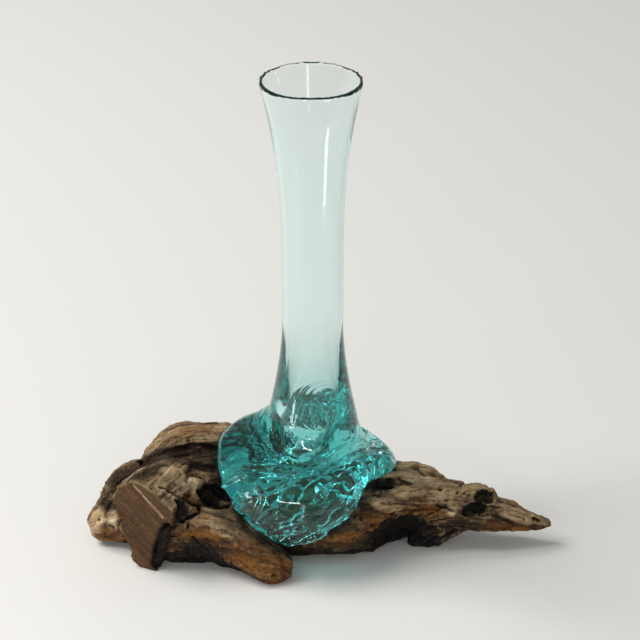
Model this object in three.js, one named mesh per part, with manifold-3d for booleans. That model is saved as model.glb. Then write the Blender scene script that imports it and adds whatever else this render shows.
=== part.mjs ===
// A tall hand-blown glass vase whose molten foot was dropped over a piece of gnarled root.
// Two pieces: the root, sawn flat where it stands, and the glass, which lifts straight off it.
// Millimetres, +Z up. The origin is on the table, under the middle of the vase.
// +X is to the right and -Y is towards the viewer.
import * as THREE from 'three';
import { mergeVertices } from 'three/addons/utils/BufferGeometryUtils.js';
import Module from 'manifold-3d';

const wasm = await Module();
wasm.setup();

// Fit between the two pieces
const seatClearance = 0.35;

// Vase: the blown neck. Heights are measured from the top of the trunk, where the glass sits.
const vaseHeight = 238;
const rimRadius = 27;
const waistRadius = 16.2;
const waistTop = 137;
const waistBottom = 94;
const collarRadius = 23.4;
const collarHeight = 42;
const neckWall = 2.4;
const lipWall = 2.6;
const upperFlare = 2.2;
const lowerFlare = 1.6;
const neckSway = 0.6;

// Vase: the hollow, which leans forward and to the left below the collar and ends in a slanting round floor
const floorThickness = 8.5;
const floorSlope = 0.45;
const hollowBelly = 2;
const hollowLean = 5;
const hollowForward = 4;
const hollowBend = 10;

// Vase: the molten foot, as lobes round the axis, anticlockwise from the right as seen from above.
// reach is from the axis. crown, bulge and hem are heights of a lobe's shoulder, widest line and lowest edge.
const lobes = [
  { azimuth: 12, reach: 47, crown: 17, bulge: 4, hem: -5 }, // small right lobe
  { azimuth: 60, reach: 38, crown: 25, bulge: 6, hem: -8 }, // back right
  { azimuth: 100, reach: 38, crown: 28, bulge: 5, hem: -13 }, // back
  { azimuth: 145, reach: 42, crown: 34, bulge: 16, hem: -2 }, // back left
  { azimuth: 185, reach: 51, crown: 35, bulge: 22, hem: 6 }, // left lobe, the highest
  { azimuth: 216, reach: 54, crown: 31, bulge: 10, hem: -8 }, // front left
  { azimuth: 256, reach: 51, crown: 27, bulge: -1, hem: -21 }, // front tongue, the lowest
  { azimuth: 298, reach: 43, crown: 25, bulge: 3, hem: -10 }, // front right
  { azimuth: 330, reach: 36, crown: 23, bulge: 9, hem: 1 }, // right, drawn in
];
const hemRound = 12;

// Vase: the fold of the melt over the front left lobe, and the furrow behind it
const foldHalfWidth = 2.2;
const meltFold = [
  [-47, -26, 47], [-42.5, -29.5, 53.5], [-38, -30.5, 57],
  [-28, -32.5, 59.5], [-19, -34.5, 60], [-9, -35.5, 60]];
const meltFurrow = [[-45, -22, 54], [-38, -25.5, 61], [-28, -28.5, 63.5], [-18, -30.5, 64]];

// Root: the trunk, which runs from left to right under the glass, and the branch it ends in
const saddleHeight = 38;
const trunkHalfDepth = 29;
const trunkHalfHeight = 21.5;
const trunkLeft = 122;
const branchReach = 133;
const branchTop = 38;
const branchHalfDepth = 19;
const branchHalfHeight = 12;
const tipHeight = 12;

// Root: the limbs that grow out of the trunk
const slabTop = 55;
const slabBack = 22;
const slabHalfDepth = 14;
const slabHalfThickness = 12;
const ridgeTop = 50;
const ridgeHalfDepth = 13;
const ridgeHalfThickness = 13;
const shoulderTop = 45;
const shoulderHalfThickness = 10;
const stubLeft = 90;
const stubHeight = 55.5;
const stubHalfWidth = 18;
const stubReach = 37;
const toeReach = 48;
const toeHalfWidth = 9;
const toeHalfHeight = 8.5;
const bellyHalfWidth = 13;
const bellyTop = 34;
const knobReach = 32;
const knobHalfWidth = 10;
const shankReach = 24;
const shankHalfWidth = 8;
const legFoot = 60;
const legHalfWidth = 7;
const legHalfThickness = 6.5;
const knuckleTop = 36;
const knuckleRadius = 10;
const backRidgeReach = 26;
const backRidgeHalfWidth = 7;

// Root: the cove that is rotted out under the branch
const coveHeight = 28;
const coveHalfSpan = 24;
const coveHalfDepth = 21;

// Grain: the flutes and cracks that weathering leaves along the limbs, and how far the wood bends out of true
const fluteDepth = 2;
const fluteDrift = 130;
const swellingLength = 42;
const gnarlDepth = 1;
const gnarlLength = 10;
const crackWidth = 2;
const crackDepth = 5;

const UP = new THREE.Vector3(0, 0, 1);
const radians = THREE.MathUtils.degToRad;
const v = (x, y, z) => new THREE.Vector3(x, y, z);

// A closed BufferGeometry with shared vertices as a solid, and back.
function solid(geometry) {
  const bare = geometry.clone();
  bare.deleteAttribute('normal');
  bare.deleteAttribute('uv');
  const merged = mergeVertices(bare, 1e-4);
  return new wasm.Manifold(new wasm.Mesh({
    numProp: 3,
    vertProperties: merged.attributes.position.array,
    triVerts: new Uint32Array(merged.index.array),
  }));
}

function geometryOf(body) {
  const { numProp, numVert, vertProperties, triVerts } = body.getMesh();
  const positions = new Float32Array(numVert * 3);
  for (let i = 0; i < numVert; i++) {
    positions.set(vertProperties.subarray(i * numProp, i * numProp + 3), i * 3);
  }
  const geometry = new THREE.BufferGeometry();
  geometry.setAttribute('position', new THREE.BufferAttribute(positions, 3));
  geometry.setIndex(new THREE.BufferAttribute(triVerts, 1));
  geometry.computeVertexNormals();
  return geometry;
}

// A skin over a row of closed rings, each shut at its end by a fan to the middle of the ring.
function loft(rings) {
  const sides = rings[0].length;
  const points = rings.flat();
  const faces = [];
  for (let i = 0; i + 1 < rings.length; i++) {
    for (let j = 0; j < sides; j++) {
      const a = i * sides + j;
      const b = i * sides + ((j + 1) % sides);
      faces.push(a, b, b + sides, a, b + sides, a + sides);
    }
  }
  for (const [ring, first, turn] of [[rings[0], 0, 1], [rings.at(-1), (rings.length - 1) * sides, 0]]) {
    const middle = ring.reduce((sum, p) => sum.add(p), v(0, 0, 0)).divideScalar(sides);
    const hub = points.push(middle) - 1;
    for (let j = 0; j < sides; j++) {
      const a = first + j;
      const b = first + ((j + 1) % sides);
      faces.push(...(turn ? [hub, b, a] : [hub, a, b]));
    }
  }
  return new THREE.BufferGeometry().setFromPoints(points).setIndex(faces);
}

// Flutes that run along a limb and drift a little round it, with swellings between them, from about -1 to 1.
function flute(angle, distance, seed) {
  const drift = distance / fluteDrift;
  const along = (2 * Math.PI * distance) / swellingLength;
  const broad = Math.cos(3 * angle + seed + drift);
  const narrow = 1 - 2 * Math.abs(Math.cos(3.5 * angle - 2 * seed + drift)) ** 0.7;
  const fine = Math.cos(11 * angle + 5 * seed - drift);
  const lumps = Math.cos(along + 2 * angle + seed) * Math.cos(along / 1.7 - 3 * angle);
  return 0.2 * broad + 0.35 * narrow + 0.15 * fine + 0.45 * lumps;
}

// Bends a point of the wood a little out of true, the same way for every limb that passes there.
function gnarl(point) {
  const { x, y, z } = point;
  return point.add(v(
    Math.cos(z / gnarlLength + y / 13) + 0.5 * Math.cos(y / 7 - z / 9),
    Math.cos(x / gnarlLength + z / 11) + 0.5 * Math.cos(x / 8 + z / 6),
    Math.cos(x / gnarlLength - y / 12) + 0.5 * Math.cos(x / 7 + y / 9),
  ).multiplyScalar(gnarlDepth));
}

// A limb of the root: a path with a half width across it and a half height at each point.
// square is 2 for a round section and more for a squarer one. corners gives a section by its corners.
// With under true it is the room that the limb takes from the glass: grown by the clearance,
// and with its sides dropped straight down, so that the glass can rise off it.
function limb(shape, under) {
  const { path, halfWidths, halfHeights, sides, steps, seed = 0, square = 2, corners } = shape;
  const { flutes = fluteDepth, bend = gnarl } = shape;
  const line = new THREE.CatmullRomCurve3(path, false, 'centripetal');
  const sizes = new THREE.CatmullRomCurve3(halfWidths.map((w, i) => v(w, halfHeights[i], 0)));
  const length = line.getLength();
  const grown = under ? seatClearance : 0;
  const rings = [];
  for (let i = 0; i <= steps; i++) {
    const along = i / steps;
    const nth = line.getUtoTmapping(along);
    const middle = line.getPoint(nth);
    const tangent = line.getTangent(nth);
    const side = new THREE.Vector3().crossVectors(UP, tangent).normalize();
    const up = new THREE.Vector3().crossVectors(tangent, side);
    const size = sizes.getPoint(nth);
    const depth = flutes * THREE.MathUtils.clamp(size.x / 7, 0.3, 1);
    const outline = (corners ?? ring(sides, square)).map(([across, rise], j, all) => {
      const bump = depth * flute((2 * Math.PI * j) / all.length, along * length, seed) + grown;
      return [(size.x + bump) * across, (size.y + bump) * rise];
    });
    if (under) {
      dropSides(outline, middle.z + saddleHeight);
    }
    rings.push(outline.map(([across, rise, drop = 0]) => (
      bend(middle.clone().addScaledVector(side, across).addScaledVector(up, rise)).addScaledVector(UP, -drop))));
  }
  return solid(loft(rings));
}

// The points of a section whose half width and half height are 1.
function ring(sides, square) {
  return Array.from({ length: sides }, (_, j) => {
    const angle = (2 * Math.PI * j) / sides;
    const [across, rise] = [Math.cos(angle), Math.sin(angle)];
    const reach = (Math.abs(across) ** square + Math.abs(rise) ** square) ** (-1 / square);
    return [across * reach, rise * reach];
  });
}

// Turns the lower half of an outline into a box, drop deep, as wide as the outline.
function dropSides(outline, drop) {
  const sides = outline.length;
  const half = sides / 2;
  const right = Math.max(...outline.map((p) => p[0]));
  const left = Math.min(...outline.map((p) => p[0]));
  outline[0] = [right, 0];
  outline[half] = [left, 0];
  for (let j = half + 1; j < sides; j++) {
    const share = (j - half - 1) / (half - 2);
    outline[j] = [left + (right - left) * share, 0, drop];
  }
}

// Root

const trunkMiddle = saddleHeight - trunkHalfHeight;
const branchMiddle = branchTop - branchHalfHeight;
const trunk = {
  path: [v(-trunkLeft, -9, 7), v(7 - trunkLeft, -7, 10), v(16 - trunkLeft, -4, 14), v(32 - trunkLeft, 0, 20),
    v(60 - trunkLeft, 0, trunkMiddle + 3), v(-34, -1, trunkMiddle), v(0, -1, trunkMiddle),
    v(24, -2, trunkMiddle + 1.5), v(42, -3, branchMiddle - 7), v(60, -3, branchMiddle - 7.5),
    v(branchReach - 57, -5, branchMiddle - 3), v(branchReach - 44, -8, branchMiddle - 5),
    v(branchReach - 30, -9, tipHeight + 5), v(branchReach - 15, -10, tipHeight + 2),
    v(branchReach - 2, -10, tipHeight)],
  halfWidths: [4, 9, 14, 23, trunkHalfDepth, trunkHalfDepth, trunkHalfDepth, trunkHalfDepth - 3,
    branchHalfDepth + 2, branchHalfDepth - 1, branchHalfDepth - 5, 12, 9, 6, 2],
  halfHeights: [5, 10, 15, 20, trunkHalfHeight + 2, trunkHalfHeight, trunkHalfHeight, trunkHalfHeight - 1.5,
    branchHalfHeight + 7.5, branchHalfHeight + 5.5, branchHalfHeight - 1, 10, 9, 5.5, 2],
  sides: 36, steps: 40, seed: 0.6, square: 2.6,
};
const slabMiddle = slabTop - slabHalfThickness;
const slab = {
  path: [v(31 - trunkLeft, slabBack - 9, 30), v(38 - trunkLeft, slabBack - 5, slabMiddle - 6),
    v(48 - trunkLeft, slabBack - 2, slabMiddle - 1), v(62 - trunkLeft, slabBack, slabMiddle),
    v(-40, slabBack - 1, slabMiddle - 2), v(-14, slabBack - 6, saddleHeight - 12)],
  halfWidths: [6, 10, slabHalfDepth, slabHalfDepth, slabHalfDepth - 1, 9],
  halfHeights: [6, 10, slabHalfThickness, slabHalfThickness, slabHalfThickness - 2, 8],
  sides: 26, steps: 20, seed: 2.1, square: 2.6,
};
const ridgeMiddle = ridgeTop - ridgeHalfThickness;
const ridge = {
  path: [v(10 - trunkLeft, -4, 22), v(16 - trunkLeft, -3, 29), v(24 - trunkLeft, 0, 32),
    v(35 - trunkLeft, 3, ridgeMiddle - 4), v(50 - trunkLeft, 4, ridgeMiddle), v(-56, 4, ridgeMiddle),
    v(-38, 3, 32)],
  halfWidths: [5, 8, 11, ridgeHalfDepth - 1, ridgeHalfDepth, ridgeHalfDepth, 10],
  halfHeights: [5, 8, 11, ridgeHalfThickness - 1, ridgeHalfThickness, ridgeHalfThickness - 1, 8],
  sides: 26, steps: 20, seed: 4.2,
};
const shoulderMiddle = shoulderTop - shoulderHalfThickness;
const shoulder = {
  path: [v(24 - trunkLeft, -8, 26), v(38 - trunkLeft, -12, shoulderMiddle - 2), v(-70, -14, shoulderMiddle),
    v(-54, -13, shoulderMiddle), v(-42, -8, 26)],
  halfWidths: [6, 10, 11, 9, 6],
  halfHeights: [8, shoulderHalfThickness, shoulderHalfThickness, shoulderHalfThickness - 2, 8],
  sides: 20, steps: 14, seed: 1.1,
};
const stubMiddle = stubHeight / 2;
const stub = {
  path: [v(18 - stubLeft, 2, stubMiddle - 2), v(10 - stubLeft, -16, stubMiddle - 1),
    v(-stubLeft, -stubReach, stubMiddle), v(-stubLeft - 8, -stubReach - 16, stubMiddle)],
  halfWidths: [stubHalfWidth - 2, stubHalfWidth - 1, stubHalfWidth, stubHalfWidth],
  halfHeights: [stubMiddle - 6, stubMiddle - 2, stubMiddle, stubMiddle],
  corners: [[0.95, 0.3], [0.98, 0.64], [0.5, 0.94], [0.05, 1], [-0.3, 1], [-0.81, 0.85], [-1, 0.45],
    [-0.97, 0.08], [-0.75, -0.43], [-0.47, -0.79], [-0.19, -1.1], [0.36, -1.1], [0.42, -0.62], [0.66, -0.08]],
  steps: 6, seed: 1.3,
};
const splinter = {
  path: [v(4 - stubLeft, 12 - stubReach, 38), v(14 - stubLeft, 10 - stubReach, 35),
    v(24 - stubLeft, 9 - stubReach, 30), v(32 - stubLeft, 9 - stubReach, 26)],
  halfWidths: [6, 6.5, 5.5, 2],
  halfHeights: [11, 9, 6.5, 3],
  sides: 14, steps: 7, seed: 2.9, square: 1.3,
};
const toe = {
  path: [v(4 - stubLeft, -22, 12), v(20 - stubLeft, -25, bellyTop - 18), v(-54, -26, bellyTop - 17),
    v(-40, -32, 15), v(-28, 7 - toeReach, 11), v(-18, 3 - toeReach, toeHalfHeight),
    v(-10, 1 - toeReach, toeHalfHeight - 1)],
  halfWidths: [10, bellyHalfWidth, bellyHalfWidth, toeHalfWidth + 2.5, toeHalfWidth, toeHalfWidth - 1, 3.5],
  halfHeights: [13, 17, 17, 15, toeHalfHeight + 2.5, toeHalfHeight, toeHalfHeight - 3.5],
  sides: 24, steps: 20, seed: 5.4, square: 2.4,
};
const knob = {
  path: [v(-6, 18 - knobReach, 16), v(8, 12 - knobReach, 17), v(20, 9 - knobReach, 19),
    v(30, 10 - knobReach, 20)],
  halfWidths: [knobHalfWidth - 2, knobHalfWidth, knobHalfWidth - 1, 4],
  halfHeights: [14, 14, 10, 4],
  sides: 18, steps: 9, seed: 3.3, square: 2.4,
};
const shank = {
  path: [v(24, 9 - shankReach, branchTop - 12), v(38, 8 - shankReach, branchTop - 8),
    v(52, 9 - shankReach, branchTop - 7), v(66, 12 - shankReach, branchTop - 10),
    v(80, 14 - shankReach, branchTop - 12)],
  halfWidths: [7, shankHalfWidth, shankHalfWidth, shankHalfWidth - 2, 4],
  halfHeights: [8, 7.5, 7, 6.5, 5],
  sides: 20, steps: 14, seed: 0.4,
};
const leg = {
  path: [v(legFoot + 35, -8, branchTop - 13), v(legFoot + 26, -9, branchTop - 16.5), v(legFoot + 15, -9, 13.5),
    v(legFoot + 3, -10, 5), v(legFoot - 5, -10, -3)],
  halfWidths: [legHalfWidth - 1, legHalfWidth, legHalfWidth, legHalfWidth, legHalfWidth - 2],
  halfHeights: [legHalfThickness - 0.5, legHalfThickness + 0.5, legHalfThickness, legHalfThickness - 1,
    legHalfThickness - 2.5],
  sides: 16, steps: 10, seed: 2.7, square: 2.6,
};
const knuckleMiddle = knuckleTop - knuckleRadius;
const knuckle = {
  path: [v(branchReach - 57, -6, knuckleMiddle), v(branchReach - 49, -6, knuckleMiddle),
    v(branchReach - 41, -7, knuckleMiddle), v(branchReach - 32, -9, knuckleMiddle - 4)],
  halfWidths: [6, knuckleRadius - 1, knuckleRadius, 5],
  halfHeights: [6, knuckleRadius - 1, knuckleRadius, 5],
  sides: 18, steps: 9, seed: 1.9,
};
const backRidge = {
  path: [v(20, backRidgeReach - 14, branchTop - 12), v(38, backRidgeReach - 9, branchTop - 10),
    v(50, backRidgeReach - 7, branchTop - 10), v(60, backRidgeReach - 8, branchTop - 10),
    v(76, backRidgeReach - 14, branchTop - 16)],
  halfWidths: [7, backRidgeHalfWidth + 1, backRidgeHalfWidth, backRidgeHalfWidth - 1, 3],
  halfHeights: [7, 7.5, 7, 7, 3],
  sides: 16, steps: 11, seed: 0.9, square: 1.6,
};
const bulk = [trunk, slab, ridge, shoulder, stub, splinter, toe, knob, shank, knuckle, backRidge];

// The undercut along the slab's front edge
const undercut = {
  path: [v(24 - trunkLeft, 4, 37), v(33 - trunkLeft, 5, slabTop - 11), v(44 - trunkLeft, 5, slabTop - 7.5),
    v(56 - trunkLeft, 6, slabTop - 6.5), v(-56, 5, slabTop - 7.5), v(-46, 6, slabTop - 14)],
  halfWidths: [2, 5, 6.5, 6.5, 5, 2],
  halfHeights: [1.5, 3.5, 5, 5, 4, 1.5],
  sides: 8, steps: 12, flutes: 0,
};

// Drying cracks, as thin blades that are cut out of the wood
const cracks = [
  [v(32 - stubLeft, -30, 34), v(20 - stubLeft, -34, 25), v(9.5 - stubLeft, -37, 14),
    v(5 - stubLeft, -42, 2)], // between the stub and the toe
  [v(29 - stubLeft, -37, 27), v(33 - stubLeft, -40, 17), v(40 - stubLeft, -41, 10)], // down the toe's root
  [v(branchReach - 35, -19, 15), v(branchReach - 21, -17, 13), v(branchReach - 9, -14, 12.5)], // the point
  [v(6, -26, 30), v(24, -27, 27), v(36, -25, 28)], // along the trunk, beside the glass
].map((path) => ({
  path,
  halfWidths: path.map(() => crackDepth),
  halfHeights: path.map((point, i) => (i === 0 || i === path.length - 1 ? crackWidth / 4 : crackWidth / 2)),
  sides: 8, steps: 6, square: 1.2, flutes: 0,
}));

function joined(limbs, under) {
  return limbs.map((shape) => limb(shape, under)).reduce((all, next) => all.add(next));
}

// The body without the slivers that a cut leaves loose.
function largestOf(body) {
  return body.decompose().sort((a, b) => b.volume() - a.volume())[0];
}

// A rounded hollow, worn or rotted out of the wood.
function hollow(middle, halfSizes, turn = 0, fineness = 2) {
  const shape = new THREE.IcosahedronGeometry(1, fineness);
  shape.scale(...halfSizes).rotateY(radians(turn)).translate(...middle);
  const points = shape.attributes.position;
  for (let i = 0; i < points.count; i++) {
    points.setXYZ(i, ...gnarl(new THREE.Vector3().fromBufferAttribute(points, i)));
  }
  return solid(shape);
}

// A block far larger than the part, whose face through point has the outward normal given.
function beyond(point, normal) {
  const size = 600;
  const block = new THREE.BoxGeometry(size, size, size).translate(0, 0, size / 2);
  block.applyQuaternion(new THREE.Quaternion().setFromUnitVectors(UP, normal.clone().normalize()));
  return solid(block.translate(point.x, point.y, point.z));
}

function makeRoot() {
  let wood = joined(bulk);
  const worn = [
    hollow(v(legFoot - 7, -shankReach - 7, 0), v(coveHalfSpan, coveHalfDepth, coveHeight), 0, 3), // the cove
    hollow(v(45, 16 - shankReach, branchTop), v(12, 5.5, 9), -2), // the slot behind the front roll
    hollow(v(branchReach - 39, -13.5, knuckleTop - 4), v(5.5, 4.5, 4), 20), // the rotted eye in the knuckle
    hollow(v(branchReach - 45, -17, knuckleTop - 9), v(7.5, 5, 3.5), -10), // and the longer one below it
    hollow(v(38 - stubLeft, -18, bellyTop + 2), v(11, 8, 6), 20), // the shaded pocket over the toe's root
    hollow(v(26 - stubLeft, 6 - toeReach, 0), v(20, 11, 11)), // the undercut between the stub and the toe
    hollow(v(20 - stubLeft, 2 - stubReach, 40), v(6, 5, 6)), // the notch beside the sawn face
  ];
  for (const h of worn) {
    wood = wood.subtract(h);
  }
  wood = wood.subtract(limb(undercut)).subtract(joined(cracks)).add(limb(leg));
  const sawnFace = beyond(v(-stubLeft, -stubReach, stubMiddle), v(-0.42, -0.88, -0.05));
  const table = beyond(v(0, 0, 0), v(0, 0, -1));
  return largestOf(wood.subtract(sawnFace).subtract(table));
}

// Vase

// A value that changes smoothly round the axis, from those of the lobes on either side.
function around(name, azimuth) {
  const count = lobes.length;
  let at = lobes.findIndex((lobe) => lobe.azimuth > azimuth);
  at = at < 0 ? count : at;
  const lobe = (i) => {
    const turns = Math.floor(i / count);
    const found = lobes[i - turns * count];
    return { azimuth: found.azimuth + 360 * turns, value: found[name] };
  };
  const [p, q, r, s] = [at - 2, at - 1, at, at + 1].map(lobe);
  const t = (azimuth - q.azimuth) / (r.azimuth - q.azimuth);
  const leave = ((r.value - p.value) / (r.azimuth - p.azimuth)) * (r.azimuth - q.azimuth);
  const arrive = ((s.value - q.value) / (s.azimuth - q.azimuth)) * (r.azimuth - q.azimuth);
  return q.value * (2 * t ** 3 - 3 * t ** 2 + 1) + leave * (t ** 3 - 2 * t ** 2 + t)
    + r.value * (3 * t ** 2 - 2 * t ** 3) + arrive * (t ** 3 - t ** 2);
}

// The neck's outer radius at a height, from the waist out to the rim and the collar.
function neckRadius(height) {
  if (height > waistTop) {
    const share = (height - waistTop) / (vaseHeight - waistTop);
    return waistRadius + (rimRadius - waistRadius) * share ** upperFlare;
  }
  if (height < waistBottom) {
    const share = (waistBottom - height) / (waistBottom - collarHeight);
    return waistRadius + (collarRadius - waistRadius) * share ** lowerFlare;
  }
  return waistRadius;
}

// How far the hand-drawn neck leans to the right at a height.
function sway(height) {
  return neckSway * Math.sin((Math.PI * THREE.MathUtils.clamp(height, 0, vaseHeight)) / vaseHeight);
}

// How finely the glass is drawn
const neckSteps = 15;
const neckSides = 36;
const footSteps = 17;
const hollowSides = 28;

const neckHeights = Array.from({ length: neckSteps + 1 }, (_, i) => (
  THREE.MathUtils.lerp(vaseHeight - lipWall, collarHeight, i / neckSteps)));

// The outer surface, as rings from the lip down to the middle of the underside.
function outerRings() {
  const rings = [];
  const ringAt = (profile) => Array.from({ length: neckSides }, (_, j) => {
    const azimuth = (360 * j) / neckSides;
    const [radius, height] = profile(azimuth);
    const angle = radians(azimuth);
    return v(radius * Math.cos(angle) + sway(height), radius * Math.sin(angle), saddleHeight + height);
  });
  const lipSteps = 4;
  for (let i = 1; i < lipSteps; i++) {
    const angle = (Math.PI / 2) * (i / lipSteps);
    rings.push(ringAt(() => [
      rimRadius - lipWall * (1 - Math.sin(angle)), vaseHeight - lipWall + lipWall * Math.cos(angle)]));
  }
  for (const height of neckHeights) {
    rings.push(ringAt(() => [neckRadius(height), height]));
  }
  const meridian = (azimuth) => {
    const [reach, crown, bulge, hem] = ['reach', 'crown', 'bulge', 'hem'].map((name) => around(name, azimuth));
    const out = reach - collarRadius;
    return new THREE.SplineCurve([
      [neckRadius(collarHeight + 6), collarHeight + 6],
      [collarRadius, collarHeight],
      [collarRadius + 0.3 * out, crown],
      [collarRadius + 0.8 * out, crown - 0.45 * (crown - bulge)],
      [reach, bulge],
      [reach - 0.2 * hemRound, 0.6 * hem + 0.4 * bulge - 1],
      [reach - hemRound, hem],
      [0.5 * reach, -8],
      [3, -9],
    ].map(([r, h]) => new THREE.Vector2(r, h)));
  };
  for (let i = 1; i <= footSteps; i++) {
    rings.push(ringAt((azimuth) => {
      const start = 1 / 8;
      const point = meridian(azimuth).getPoint(start + (1 - start) * (i / footSteps));
      return [point.x, point.y];
    }));
  }
  return rings;
}

// The hollow, as rings from above the mouth down to the floor.
function innerRings() {
  const rings = [];
  const ringAt = (radius, height, tilt = 0) => {
    const low = THREE.MathUtils.smoothstep(collarHeight + hollowBend - height, 0, hollowBend + collarHeight / 2);
    const middle = v(sway(height) - hollowLean * low, -hollowForward * low, saddleHeight + height);
    const swollen = radius * (1 + (hollowBelly / waistRadius) * low);
    rings.push(Array.from({ length: hollowSides }, (_, j) => {
      const angle = (2 * Math.PI * j) / hollowSides;
      const across = swollen * Math.cos(angle);
      return v(across, swollen * Math.sin(angle), tilt * across).add(middle);
    }));
  };
  const boreRadius = (height) => (
    Math.min(neckRadius(Math.max(height, waistBottom)) - neckWall, rimRadius - lipWall));
  const aboveMouth = 5;
  ringAt(rimRadius - lipWall, vaseHeight + aboveMouth);
  for (const height of neckHeights) {
    ringAt(boreRadius(height), height);
  }
  const roundSteps = 9;
  const roundness = 0.7;
  for (let i = 1; i <= roundSteps; i++) {
    const angle = (Math.PI / 2) * (i / (roundSteps + 0.6));
    const height = floorThickness + (collarHeight - floorThickness) * (1 - Math.sin(angle));
    ringAt(boreRadius(collarHeight) * Math.cos(angle) ** roundness, height, floorSlope * Math.sin(angle));
  }
  return rings;
}

// A fold or furrow along the melt, as a smooth round bead that thins out at its ends.
function bead(points, halfWidth) {
  const path = points.map((point) => v(...point));
  const halfWidths = path.map((point, i) => (i === 0 || i === path.length - 1 ? halfWidth / 3 : halfWidth));
  const round = { sides: 8, steps: 12, flutes: 0, bend: (point) => point };
  return limb({ path, halfWidths, halfHeights: halfWidths, ...round });
}

function makeVase() {
  const blown = solid(loft(outerRings().reverse()))
    .add(bead(meltFold, foldHalfWidth)).subtract(bead(meltFurrow, foldHalfWidth));
  const inside = solid(loft(innerRings().reverse()));
  const room = joined(bulk, true);
  return largestOf(blown.subtract(inside).subtract(room));
}

function named(name, body, material) {
  const mesh = new THREE.Mesh(geometryOf(body), material);
  mesh.name = name;
  return mesh;
}

const weatheredWood = new THREE.MeshStandardMaterial({ color: 0x5b4131, roughness: 0.85, metalness: 0 });
const aquaGlass = new THREE.MeshStandardMaterial({
  color: 0x9fd8cf, roughness: 0.02, metalness: 0, transparent: true, opacity: 0.4,
});

const part = new THREE.Group();
part.add(named('root', makeRoot(), weatheredWood), named('glass_vase', makeVase(), aquaGlass));

export default part;
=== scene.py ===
import math

import bmesh
import bpy
import numpy as np
from mathutils import Euler, Matrix, Vector
from mathutils.bvhtree import BVHTree


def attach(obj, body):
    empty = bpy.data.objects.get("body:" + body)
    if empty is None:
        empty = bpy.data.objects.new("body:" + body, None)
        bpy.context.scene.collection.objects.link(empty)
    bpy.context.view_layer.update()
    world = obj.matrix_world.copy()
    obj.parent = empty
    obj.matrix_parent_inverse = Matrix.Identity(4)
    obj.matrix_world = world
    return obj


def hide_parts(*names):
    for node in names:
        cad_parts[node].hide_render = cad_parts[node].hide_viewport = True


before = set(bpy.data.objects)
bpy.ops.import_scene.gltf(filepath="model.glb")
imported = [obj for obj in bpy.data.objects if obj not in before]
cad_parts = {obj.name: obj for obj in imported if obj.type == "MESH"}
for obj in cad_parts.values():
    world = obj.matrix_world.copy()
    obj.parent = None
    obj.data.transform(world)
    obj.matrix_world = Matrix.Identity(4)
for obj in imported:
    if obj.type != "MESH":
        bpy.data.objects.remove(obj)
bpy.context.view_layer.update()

# Camera: as the photograph was taken, a little from above, with a long lens
camera_place = (0.0045, -1.2, 0.808)
camera_below_horizon = 29.29  # degrees
camera_data = bpy.data.cameras.new("camera")
camera_data.sensor_width = 36
camera_data.lens = 146.3
camera_data.clip_end = 20
camera = bpy.data.objects.new("camera", camera_data)
camera.location = camera_place
camera.rotation_euler = (math.radians(90 - camera_below_horizon), 0, 0)
bpy.context.scene.collection.objects.link(camera)
bpy.context.scene.camera = camera


# Mesh and number helpers

def to_linear(colour):
    """An sRGB hex colour as the linear RGBA that a socket takes."""
    parts = [int(colour[i:i + 2], 16) / 255 for i in (1, 3, 5)]
    return [p / 12.92 if p <= 0.04045 else ((p + 0.055) / 1.055) ** 2.4 for p in parts] + [1.0]


def smoothstep(low, high, value):
    """Grows softly from 0 at low to 1 at high. Low may be the larger one."""
    share = np.clip((value - low) / (high - low), 0, 1)
    return share * share * (3 - 2 * share)


def points_of(mesh):
    """The vertices of a mesh in millimetres, as rows."""
    flat = np.empty(len(mesh.vertices) * 3)
    mesh.vertices.foreach_get("co", flat)
    return flat.reshape(-1, 3) * 1000


def normals_of(mesh):
    flat = np.empty(len(mesh.vertices) * 3, np.float32)
    mesh.vertex_normals.foreach_get("vector", flat)
    return flat.reshape(-1, 3).astype(float)


def edges_of(mesh):
    flat = np.empty(len(mesh.edges) * 2, np.int32)
    mesh.edges.foreach_get("vertices", flat)
    return flat.reshape(-1, 2)


def surface_of(piece):
    """A piece's surface, in metres, for rays and for nearest places."""
    return BVHTree.FromObject(piece, bpy.context.evaluated_depsgraph_get())


def place(mesh, points):
    """Moves the vertices of a mesh to these points, in millimetres."""
    mesh.vertices.foreach_set("co", (points / 1000).astype(np.float32).ravel())
    mesh.update()


def relax(values, edges, rounds, push=0.52):
    """Evens out places, or other values at the vertices, between neighbours.
    Every second round pushes back, so that nothing shrinks. With push at 0 it does shrink."""
    pull = 0.5
    count = np.bincount(edges.ravel(), minlength=len(values))
    for i in range(rounds):
        total = np.stack([
            np.bincount(edges[:, 0], values[edges[:, 1], k], len(values))
            + np.bincount(edges[:, 1], values[edges[:, 0], k], len(values))
            for k in range(values.shape[1])], axis=1)
        values = values + (pull if i % 2 == 0 else -push) * (total / count[:, None] - values)
    return values


def noise(points, seed):
    """Smooth noise from about -1 to 1, with hills and dips one unit apart."""
    cell = np.floor(points).astype(np.int64)
    offset = points - cell
    ease = offset ** 3 * (offset * (offset * 6 - 15) + 10)
    total = np.zeros(len(points))
    for corner in np.ndindex(2, 2, 2):
        # Large odd numbers mix the corner's place into a key, which picks the slope there
        key = (cell + corner) @ np.array([73856093, 19349663, 83492791]) + seed * 40503
        key = (key ^ (key >> 15)) * 1103515245 & 0x7FFFFFFF
        key = (key ^ (key >> 13)) * 1274126177 & 0x7FFFFFFF
        slopes = np.stack([(key >> shift & 1023) / 511.5 - 1 for shift in (1, 11, 21)], axis=1)
        weight = np.prod(np.where(corner, ease, 1 - ease), axis=1)
        total += weight * ((offset - corner) * slopes).sum(1)
    return total * 1.6


def layered(points, octaves, seed):
    """Noise with finer and weaker noise over it."""
    return sum(noise(points * 2 ** i, seed + 7 * i) / 2 ** i for i in range(octaves))


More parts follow.
